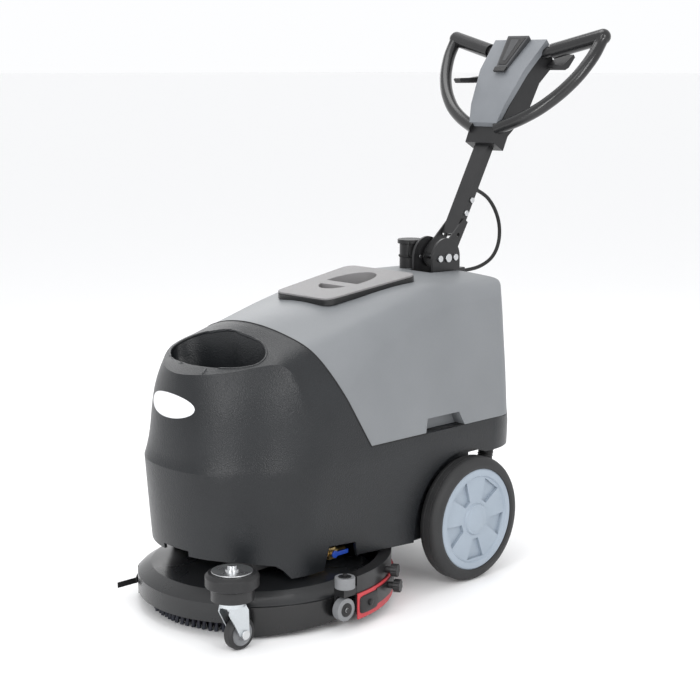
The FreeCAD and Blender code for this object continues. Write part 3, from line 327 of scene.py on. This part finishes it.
dress = {  # finish, width of the soft edge in mm, sharp angle
    "lower_body": ("bodyBlack", 0, 24), "recovery_tank": ("tankGrey", 0, 24),
    "tank_lid": ("lidGrey", 1.2, 30),
    "lid_seal": ("glossRubber", 1.0, 30), "filter_cup": ("blackPlastic", 0.8, 30),
    "cup_cap": ("blackPlastic", 1.2, 30), "fill_strainer": ("blackPlastic", 0.6, 30),
    "brush_deck": ("deckBlack", 0, 14),
    "splash_skirt": ("glossRubber", 0.6, 30), "skirt_strap": ("rubber", 0.5, 30),
    "wheel_left": ("wheelGrey", 1.4, 30), "wheel_right": ("wheelGrey", 1.4, 30),
    "rear_axle": ("steel", 0.8, 30), "chassis_frame": ("paintBlack", 0.8, 30),
    "batteries": ("motorPaint", 2, 30),
    "vacuum_motor": ("motorPaint", 2, 30), "brush_motor": ("motorPaint", 1.5, 30),
    "brush_block": ("brushPlate", 1, 30), "brush_driver": ("brushPlate", 1, 30),
    "solution_valve": ("brass", 0.5, 30), "valve_lever": ("bluePlastic", 0.7, 30),
    "caster_arm": ("paintBlack", 1.0, 30), "caster_race": ("zinc", 0.6, 30),
    "caster_fork": ("zinc", 0.8, 30),
    "caster_axle": ("steel", 0.6, 30), "caster_hub": ("rollerGrey", 0.5, 30),
    "caster_tyre": ("tyreRubber", 1.2, 30),
    "bumper_roller": ("blackPlastic", 1.0, 30), "bumper_bolt": ("steel", 0.6, 30),
    "squeegee_body": ("paintBlack", 0.8, 30), "squeegee_hanger": ("paintBlack", 0.8, 30),
    "front_blade": ("rubber", 0.4, 30), "rear_blade": ("redRubber", 0.5, 30),
    "blade_strap": ("paintBlack", 0.3, 30),
    "handle_column": ("paintBlack", 1.5, 30), "handle_bracket": ("paintBlack", 0.8, 30),
    "bracket_bolts": ("steel", 0.7, 30), "handle_post": ("paintBlack", 1.2, 30),
    "post_bolts": ("steel", 1.0, 30),
    "head_housing": ("blackPlastic", 5, 18), "head_cover": ("headGrey", 5, 18),
    "control_panel": ("panelGrey", 2.0, 30), "handle_loops": ("glossBlack", 0, 40),
    "paddle_left": ("blackPlastic", 1.5, 30), "paddle_right": ("blackPlastic", 1.5, 30),
    "suction_elbow": ("blackPlastic", 1.0, 30),
    "side_roller_left": ("rollerGrey", 1.6, 30), "side_roller_right": ("rollerGrey", 1.6, 30),
    "support_wheel_left": ("rollerGrey", 1.6, 30), "support_wheel_right": ("rollerGrey", 1.6, 30),
}
mergeStep = 2e-5  # corners of a node's triangles this near are one
flatAngle = 0.6  # faces that turn less than this many degrees are joined
for side in ("left", "right"):
    for level in ("upper", "lower"):
        dress[f"clamp_knob_{side}_{level}"] = ("blackPlastic", 0.7, 30)


def dressNode(node, finish, edge, angle):
    # A merged copy of the node's surface, its flat faces joined so that a soft edge can follow its
    # corners.
    mesh = frame["nodes"][node].data.copy()
    shape = bmesh.new()
    shape.from_mesh(mesh)
    bmesh.ops.remove_doubles(shape, verts=shape.verts, dist=mergeStep)
    bmesh.ops.dissolve_degenerate(shape, edges=shape.edges, dist=1e-6)
    if edge:
        bmesh.ops.dissolve_limit(shape, angle_limit=math.radians(flatAngle),
                                verts=shape.verts, edges=shape.edges)
    for line in shape.edges:
        line.smooth = len(line.link_faces) == 2 and line.calc_face_angle(0) < math.radians(angle)
    for face in shape.faces:
        face.smooth = True
    shape.to_mesh(mesh)
    shape.free()
    if "custom_normal" in mesh.attributes:
        mesh.attributes.remove(mesh.attributes["custom_normal"])
    piece = addPiece(node + "_skin", mesh, finish, bodyOf[node])
    if edge:
        softenEdges(piece, edge / 1000, angle, True)
    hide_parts(node)
    return piece


for nodeName, (finishName, edgeWidth, sharp) in dress.items():
    dressNode(nodeName, finishName, edgeWidth, sharp)
print("carried-over pieces:", len(dress))

# Tyres: rounded tread with shallow grooves and a raised ring on each wall

tyre = {"radius": 0.1265, "rim": 0.103, "width": 0.048, "axleY": 0.382, "axleZ": 0.1265, "out": 0.187,
        "groove": 0.0012, "around": 128,
        "cap": [(0.0001, 0.0478), (0.012, 0.0478), (0.0235, 0.0474), (0.0262, 0.0462), (0.027, 0.0445)]}


def makeTyre(side):
    # Half the tread's outline (radius, distance from the inner wall), mirrored, then turned about
    # the axle.
    w, r = tyre["width"], tyre["radius"]
    half = [(tyre["rim"], 0.002), (tyre["rim"] + 0.004, 0.0006), (tyre["rim"] + 0.006, 0.0002),
            (tyre["rim"] + 0.008, 0.0008), (r - 0.012, 0.0012), (r - 0.009, 0.0022),
            (r - 0.005, 0.0040),
            (r - 0.0022, 0.0075), (r - 0.0006, 0.0115), (r, 0.0150), (r, 0.0166),
            (r - tyre["groove"], 0.0172),
            (r - tyre["groove"], 0.0182), (r, 0.0188), (r, 0.0215)]
    profile = half + [(radius, w - high) for radius, high in half[::-1]]
    profile.append(profile[0])
    at = (side * tyre["out"], tyre["axleY"], tyre["axleZ"])
    name = "tyre_left" if side > 0 else "tyre_right"
    mesh = lathe(name + "_rubber", profile, at, (side, 0, 0), tyre["around"])
    piece = addPiece(name + "_rubber", mesh, "tyreRubber", bodyOf[name])
    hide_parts(name)
    mesh = lathe("cap", tyre["cap"], at, (side, 0, 0), 48)
    addPiece("hub_cap_" + name[5:], mesh, "wheelGrey", bodyOf[name])


for wheelSide in (1, -1):
    makeTyre(wheelSide)

# Brush: rings of slightly splayed tufts under the block

brush = {"inner": 0.068, "outer": 0.196, "rings": 11, "spacing": 0.0125, "root": 0.034, "tip": 0.001,
         "thick": 0.0032, "splay": 0.055, "splayFrom": 0.13, "scatter": 0.0007, "sides": 6, "seed": 7,
         # Share of the way down, share of the thickness
         "levels": [(0.0, 0.7), (0.5, 0.95), (1.0, 1.25)]}


def makeBristles():
    # Tufts stand on rings, every second ring half a step round; each tip moves outward with its
    # distance.
    rng = np.random.default_rng(brush["seed"])
    radii = np.linspace(brush["inner"], brush["outer"], brush["rings"])
    spots = []
    for number, radius in enumerate(radii):
        count = int(2 * math.pi * radius / brush["spacing"])
        turn = (np.arange(count) + 0.5 * (number % 2)) * 2 * math.pi / count
        spots.append(np.stack([radius * np.cos(turn), radius * np.sin(turn)], 1))
    spots = np.concatenate(spots)
    far = np.linalg.norm(spots, axis=1)[:, None]
    outward = 1 + brush["splay"] * (far - brush["splayFrom"]) / brush["splayFrom"]
    tips = spots * outward + rng.normal(0, brush["scatter"], spots.shape)
    around = np.arange(brush["sides"]) * 2 * math.pi / brush["sides"]
    ring = np.stack([np.cos(around), np.sin(around)], 1)
    rows = []
    for share, wide in brush["levels"]:
        middle = spots + (tips - spots) * share
        flat = middle[:, None] + ring[None] * brush["thick"] * wide
        high = np.full((*flat.shape[:2], 1), brush["root"] + (brush["tip"] - brush["root"]) * share)
        rows.append(np.concatenate([flat, high], 2))
    points = np.stack(rows, 1)
    n, s, deep = len(spots), brush["sides"], len(brush["levels"])
    i, level, j = np.meshgrid(np.arange(n), np.arange(deep - 1), np.arange(s), indexing="ij")
    start = i * deep * s + level * s
    k = (j + 1) % s
    faces = np.stack([start + j, start + s + j, start + s + k, start + k], -1).reshape(-1, 4).tolist()
    bottoms = (np.arange(n)[:, None] * deep * s + (deep - 1) * s + np.arange(s)[::-1]).tolist()
    roots = (np.arange(n)[:, None] * deep * s + np.arange(s)).tolist()
    mesh = bpy.data.meshes.new("bristles")
    mesh.from_pydata(points.reshape(-1, 3).tolist(), [], faces + bottoms + roots)
    orient(mesh, 60)
    piece = addPiece("bristle_tufts", mesh, "bristle", "brush")
    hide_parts("brush_bristles")
    print("bristle tufts:", n)


makeBristles()

# Suction hose: ribbed along its real route down to the squeegee

hose = {"radius": 0.0168, "rib": 0.0013, "pitch": 0.0062, "step": 0.00125,
        "route": [(0.112, 0.5565, 0.523), (0.112, 0.5565, 0.320), (0.110, 0.5545, 0.245),
                  (0.112, 0.540, 0.190),
                  (0.108, 0.514, 0.140), (0.096, 0.476, 0.102), (0.074, 0.430, 0.082),
                  (0.046, 0.386, 0.078),
                  (0.018, 0.352, 0.084), (0, 0.325, 0.092), (0, 0.2923, 0.092)]}
cable = {"radius": 0.004, "step": 0.003,
         "boot": [(0.0001, 0), (0.009, 0), (0.0088, 0.003), (0.0066, 0.008), (0.0052, 0.018),
                  (0.0044, 0.020)],
         "route": [(0, 0.616, 0.7646), (0, 0.655, 0.752), (0, 0.690, 0.722), (0, 0.711, 0.682),
                   (0, 0.711, 0.640),
                   (0, 0.690, 0.608), (0, 0.650, 0.592), (0, 0.610, 0.588), (0, 0.572, 0.588)]}


def makeHose():
    # The radius dips once in every pitch along the route, by a cosine raised to 0.6.
    line, along = resample(centreline(hose["route"]), hose["step"])
    wave = 0.5 + 0.5 * np.cos(2 * math.pi * along / hose["pitch"])
    radius = hose["radius"] - hose["rib"] * wave ** 0.6
    mesh = sweep("hose", line, radius, 28)
    piece = addPiece("suction_hose_ribbed", mesh, "rubber", None)
    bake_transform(piece)
    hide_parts("suction_hose")


def makeCable():
    line, _ = resample(centreline(cable["route"]), cable["step"])
    piece = addPiece("control_cable_sheath", sweep("cable", line, cable["radius"], 16), "rubber", None)
    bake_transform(piece)
    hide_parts("control_cable")
    out = np.array(cable["route"][1]) - np.array(cable["route"][0])
    upper = lathe("boot", cable["boot"], cable["route"][0], out, 24)
    addPiece("cable_boot_post", upper, "rubber", "handle")
    lower = lathe("boot", cable["boot"], cable["route"][-1], (0, 1, 0), 24)
    addPiece("cable_boot_column", lower, "rubber", "chassis")


makeHose()
makeCable()
print("hose and cable ready")

# Body trim: rolled lip of the bowl, dark beads on the tank's seams as painted shade of the gaps, blank
# oval plate on the nose

trim = {
    "lipRadius": 0.0026, "lipSink": 0.0012, "bowlCentre": (0, -0.1), "bowlReach": (0.15, 0.075),
    "bowlLow": 0.45,
    # The seam beads are painted shade: dark lines for the shadow gaps where the tank meets the body.
    "beadRadius": 0.0013, "beadSink": 0.0006, "near": 0.0004, "margin": 0.001,
    "seamFoot": 0.116, "seamSlope": 133 / 228, "tankFloor": 0.317, "channelHalf": 0.038,
    "plateCentre": (-0.020, 0.410), "plateHalf": (0.071, 0.0225), "plateThick": 0.0014,
    # Of the way from its middle to its edge
    "plateShare": [0.01, 0.2, 0.4, 0.6, 0.8, 0.93, 0.985, 1.0, 1.0],
    "plateLift": [1, 1, 1, 1, 1, 1, 0.7, 0.2, -0.6],  # of the thickness, at each share
}


def sharpPoints(node, angle=25):
    # Places of the corners on a node's sharp edges.
    shape = bmesh.new()
    shape.from_mesh(frame["nodes"][node].data)
    bmesh.ops.remove_doubles(shape, verts=shape.verts, dist=mergeStep)
    sharp = {v for e in shape.edges if len(e.link_faces) == 2
             and e.calc_face_angle(0) > math.radians(angle) for v in e.verts}
    found = np.array([v.co for v in sharp])
    shape.free()
    return found


def byAngle(points, turn, reach, outer, bins, span):
    # One point for each step of the angle, the outermost or innermost there, in order.
    step = (turn / span * bins).astype(int)
    order = np.lexsort((-reach if outer else reach, step))
    first = np.unique(step[order], return_index=True)[1]
    return points[order[first]]


def bead(name, line, radius, normal, closed, around=12):
    # A round bead along a line that lies near a plane with the given normal.
    if closed:
        tangent = np.roll(line, -1, 0) - np.roll(line, 1, 0)
    else:
        tangent = np.gradient(line, axis=0)
    tangent /= np.linalg.norm(tangent, axis=1)[:, None]
    side = np.cross(tangent, normal)
    side /= np.linalg.norm(side, axis=1)[:, None]
    other = np.cross(tangent, side)
    turn = np.arange(around) * 2 * math.pi / around
    ring = np.cos(turn)[None, :, None] * side[:, None] + np.sin(turn)[None, :, None] * other[:, None]
    points = line[:, None] + radius * ring
    if closed:
        points = np.concatenate([points, points[:1]])
    return gridMesh(name, points, caps=not closed)


def evenLoop(points, count, closed, passes=2):
    # The line through the points, evenly spaced and slightly smoothed.
    if closed:
        points = np.concatenate([points, points[:1]])
    along = np.r_[0, np.cumsum(np.linalg.norm(np.diff(points, axis=0), axis=1))]
    places = np.linspace(0, along[-1], count, endpoint=not closed)
    line = np.stack([np.interp(places, along, points[:, c]) for c in range(3)], 1)
    for _ in range(passes):
        if closed:
            line = (np.roll(line, 1, 0) + 2 * line + np.roll(line, -1, 0)) / 4
        else:
            line[1:-1] = (line[:-2] + 2 * line[1:-1] + line[2:]) / 4
    return line


def makeLip():
    points = sharpPoints("lower_body")
    x, y = points[:, 0] - trim["bowlCentre"][0], points[:, 1] - trim["bowlCentre"][1]
    wide, deep = trim["bowlReach"]
    near = (abs(x) < wide) & (abs(y) < deep) & (points[:, 2] > trim["bowlLow"])
    points, x, y = points[near], x[near], y[near]
    turn = np.arctan2(y, x) % (2 * math.pi)
    rim = byAngle(points, turn, np.hypot(x, y), False, 90, 2 * math.pi)
    line = evenLoop(rim, 160, True)
    line[:, 2] -= trim["lipSink"]
    mesh = bead("lip", line, trim["lipRadius"], (0, 0, 1), True, 16)
    addPiece("bowl_lip", mesh, "bodyBlack", "chassis")


def makeSeamShadowBeads():
    points = sharpPoints("recovery_tank")
    # The tank's corners that lie in the tilted seam, and those round its floor, each joined by a dark
    # rubber bead: painted shade standing in for the shadow gap at each seam.
    slope, foot, floor = trim["seamSlope"], trim["seamFoot"], trim["tankFloor"]
    near, margin, sink = trim["near"], trim["margin"], trim["beadSink"]
    off = points[:, 1] - (foot - slope * (points[:, 2] - floor))
    tilted = points[(abs(off) < near) & (points[:, 2] > floor - margin)]
    turn = np.arctan2(tilted[:, 2] - floor + margin, tilted[:, 0])
    line = byAngle(tilted, turn, np.hypot(tilted[:, 0], tilted[:, 2] - floor), True, 90, math.pi)
    normal = np.array([0, 1, slope]) / math.hypot(1, slope)
    line = evenLoop(line, 150, False, 1) - normal * sink
    mesh = bead("seam", line, trim["beadRadius"], normal, False, 10)
    addPiece("tank_seam_shadow_bead", mesh, "rubber", "tank")
    level = points[(abs(points[:, 2] - floor) < near) & (points[:, 1] > foot - margin)]
    turn = np.arctan2(level[:, 1] - foot + margin, level[:, 0])
    line = byAngle(level, turn, np.hypot(level[:, 0], level[:, 1] - foot), True, 80, math.pi)
    for name, side in (("left", 1), ("right", -1)):  # the column's channel parts it in two
        half = evenLoop(line[side * line[:, 0] > trim["channelHalf"]], 100, False, 0)
        mesh = bead("level", half - np.array([0, 0, sink]), trim["beadRadius"], (0, 0, 1), False, 10)
        addPiece("tank_floor_shadow_bead_" + name, mesh, "rubber", "tank")


def makePlate():
    # An ellipse laid on the nose: depth from the nose's own surface, edge rounded over the outer tenth.
    body = frame["nodes"]["lower_body"].data
    tree = BVHTree.FromPolygons([v.co[:] for v in body.vertices],
                                [p.vertices[:] for p in body.polygons])
    share = np.array(trim["plateShare"])
    lift = np.array(trim["plateLift"]) * trim["plateThick"]
    turn = np.arange(56) * 2 * math.pi / 56
    x = trim["plateCentre"][0] + trim["plateHalf"][0] * share[:, None] * np.cos(turn)
    z = trim["plateCentre"][1] + trim["plateHalf"][1] * share[:, None] * np.sin(turn)
    depth = np.array([tree.ray_cast(Vector((a, -0.5, b)), Vector((0, 1, 0)))[0].y
                      for a, b in zip(x.ravel(), z.ravel())]).reshape(x.shape)
    mesh = gridMesh("plate", np.stack([x, depth - lift[:, None], z], 2))
    addPiece("nose_plate_blank", mesh, "plateWhite", "chassis")


makeLip()
makeSeamShadowBeads()
makePlate()
print("body trim ready")

# Head: raised inset and slot on the panel, serrated finger lever, cap tether

head = {"panelFoot": (0.704, 1.017), "panelTop": (0.763, 1.086), "edge": 0.0009,
        "teeth": 7, "toothFrom": 0.652, "toothPitch": 0.0085, "toothWide": 0.0045, "toothRoot": 0.9895,
        "toothTip": 0.9845, "leverSides": (-0.086, -0.068), "pinAt": (-0.075, 0.722, 0.9915),
        "leverBack": [(0.716, 0.9865), (0.729, 0.9850), (0.7305, 0.9905), (0.727, 0.9985),
                      (0.716, 0.9975), (0.70, 0.9955), (0.654, 0.9950), (0.6505, 0.9930)],
        "leverPin": [(0.0001, 0), (0.004, 0), (0.004, 0.014), (0.0001, 0.014)],
        "cupAt": (-0.062, 0.493, 0), "tetherLean": (0.6, -0.8, 0), "tetherRadius": 0.0014,
        "tetherStep": 0.0012,
        "tether": [(0.0272, 0.6545), (0.0325, 0.6550), (0.0365, 0.6480), (0.0370, 0.6370),
                   (0.0335, 0.6270),
                   (0.0262, 0.6240)],
        "ring": [(0.0228, 0.6215), (0.0248, 0.6220), (0.0256, 0.6240), (0.0248, 0.6260),
                 (0.0228, 0.6265)]}


def panelPiece(name, spans, low, high, finish):
    # A bevelled plate on the panel's face: (share up the face, half width) at both ends, between
    # two heights.
    foot, top = np.array(head["panelFoot"]), np.array(head["panelTop"])
    up = top - foot
    out = np.array([-up[1], up[0]]) / np.linalg.norm(up)
    corners = []
    for lift in (low, high):
        for share, half in spans:
            y, z = foot + up * share + out * lift
            corners += [(half, y, z), (-half, y, z)]
    faces = [(0, 1, 3, 2), (4, 5, 7, 6), (0, 1, 5, 4), (2, 3, 7, 6), (0, 2, 6, 4), (1, 3, 7, 5)]
    mesh = bpy.data.meshes.new(name)
    mesh.from_pydata(corners, [], faces)
    orient(mesh)
    piece = addPiece(name, mesh, finish, "handle")
    softenEdges(piece, head["edge"])


def makeFingerLever():
    # A flat lever with teeth under it: its side outline carried across its width.
    teeth = head["teeth"]
    along = np.repeat(head["toothFrom"] + head["toothPitch"] * np.arange(teeth), 2)
    along = along + np.tile([0.0, head["toothWide"]], teeth)
    under = np.stack([along, np.tile([head["toothRoot"], head["toothTip"]], teeth)], 1)
    outline = np.concatenate([under, head["leverBack"]])
    rows = [np.c_[np.full(len(outline), x), outline] for x in head["leverSides"]]
    mesh = gridMesh("lever", np.stack(rows))
    piece = addPiece("finger_lever_serrated", mesh, "blackPlastic", bodyOf["finger_lever"])
    pin = lathe("pin", head["leverPin"], head["pinAt"], (1, 0, 0), 24)
    addPiece("finger_lever_pin", pin, "steel", bodyOf["finger_lever"])
    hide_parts("finger_lever")


def makeTether():
    # A thin strand beside the cup, through points given as (distance from the cup's axis, height).
    lean, middle = np.array(head["tetherLean"]), np.array(head["cupAt"])
    route = [tuple(middle + lean * r + np.array([0, 0, z])) for r, z in head["tether"]]
    line = resample(centreline(route), head["tetherStep"])[0]
    mesh = sweep("tether", line, head["tetherRadius"], 12)
    piece = addPiece("cap_tether", mesh, "rubber", None)
    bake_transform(piece)
    mesh = lathe("ring", head["ring"], head["cupAt"], (0, 0, 1), 48)
    addPiece("cup_ring", mesh, "rubber", "tank")


panelPiece("panel_inset", [(0.10, 0.0105), (0.93, 0.0245)], -0.001, 0.0013, "blackPlastic")
panelPiece("panel_rib_left", [(0.2, 0.004), (0.86, 0.011)], 0.0005, 0.0022, "panelGrey")
panelPiece("panel_slot", [(-0.10, 0.0155), (0.04, 0.0165)], -0.004, 0.0012, "glossBlack")
makeFingerLever()
makeTether()
print("head pieces ready")

# Squeegee: end clamps over the red blade, hubs of the small wheels

squeegee = {"clampIn": 0.2652, "clampOut": 0.2682, "clampLow": 0.0265, "clampHigh": 0.0605,
            "clampTurn": (4.5, 17.0), "clampPower": 0.35, "rollerX": 0.255, "rollerY": -0.008,
            "wheelZ": 0.041,
            "clampShare": [0.01, 0.5, 0.86, 0.96, 1.0, 1.0],  # of the way from its middle to its edge
            "clampLift": [1, 1, 1, 0.75, 0.3, -0.2],  # of the thickness, at each share
            "boss": [(0.0001, 0.0040), (0.0045, 0.0040), (0.0060, 0.0030), (0.0062, 0.0)],
            "rollerHub": [(0.0046, 0.1035), (0.0046, 0.1049), (0.0105, 0.1051), (0.0120, 0.1046),
                          (0.0126, 0.1036)],
            "wheelHub": [(0.0046, 0.2590), (0.0046, 0.2606), (0.0112, 0.2608), (0.0128, 0.2602),
                         (0.0134, 0.2590)],
            "wheelPin": [(0.0001, 0.2640), (0.0022, 0.2638), (0.0044, 0.2618), (0.0044, 0.2590)]}


def makeClamp(side):
    # A rounded plate bent round the ring: a superellipse in angle and height, domed over its outer
    # part.
    share, lift = np.array(squeegee["clampShare"]), np.array(squeegee["clampLift"])
    turn = np.arange(48) * 2 * math.pi / 48
    wide = np.sign(np.cos(turn)) * abs(np.cos(turn)) ** squeegee["clampPower"]
    tall = np.sign(np.sin(turn)) * abs(np.sin(turn)) ** squeegee["clampPower"]
    first, last = squeegee["clampTurn"]
    angle = np.radians((first + last) / 2 + (last - first) / 2 * share[:, None] * wide)
    low, high = squeegee["clampLow"], squeegee["clampHigh"]
    z = (low + high) / 2 + (high - low) / 2 * share[:, None] * tall
    radius = squeegee["clampIn"] + (squeegee["clampOut"] - squeegee["clampIn"]) * lift[:, None] + 0 * z
    points = np.stack([side * radius * np.cos(angle), radius * np.sin(angle), z], 2)
    name = "left" if side > 0 else "right"
    addPiece("blade_clamp_" + name, gridMesh("clamp", points), "blackPlastic", "squeegee")
    middle = math.radians((first + last) / 2)
    out = (side * math.cos(middle), math.sin(middle), 0)
    at = np.array(out) * squeegee["clampOut"] + np.array([0, 0, (low + high) / 2])
    mesh = lathe("boss", squeegee["boss"], at, out, 24)
    addPiece("clamp_boss_" + name, mesh, "blackPlastic", "squeegee")


def makeSmallHubs(side):
    # Closed outlines (radius, distance along the axle) turned about the rollers' and wheels' own axles.
    name = "left" if side > 0 else "right"
    y = squeegee["rollerY"]
    outline = squeegee["rollerHub"] + squeegee["rollerHub"][:1]
    mesh = lathe("hub", outline, (side * squeegee["rollerX"], y, 0), (0, 0, 1), 40)
    addPiece("roller_hub_" + name, mesh, "blackPlastic", bodyOf["side_roller_" + name])
    at = (0, y, squeegee["wheelZ"])
    mesh = lathe("hub", squeegee["wheelHub"] + squeegee["wheelHub"][:1], at, (side, 0, 0), 40)
    addPiece("support_hub_" + name, mesh, "blackPlastic", bodyOf["support_wheel_" + name])
    mesh = lathe("pin", squeegee["wheelPin"], at, (side, 0, 0), 32)
    addPiece("support_pin_" + name, mesh, "steel", "squeegee")


for squeegeeSide in (1, -1):
    makeClamp(squeegeeSide)
    makeSmallHubs(squeegeeSide)
print("squeegee trim ready")
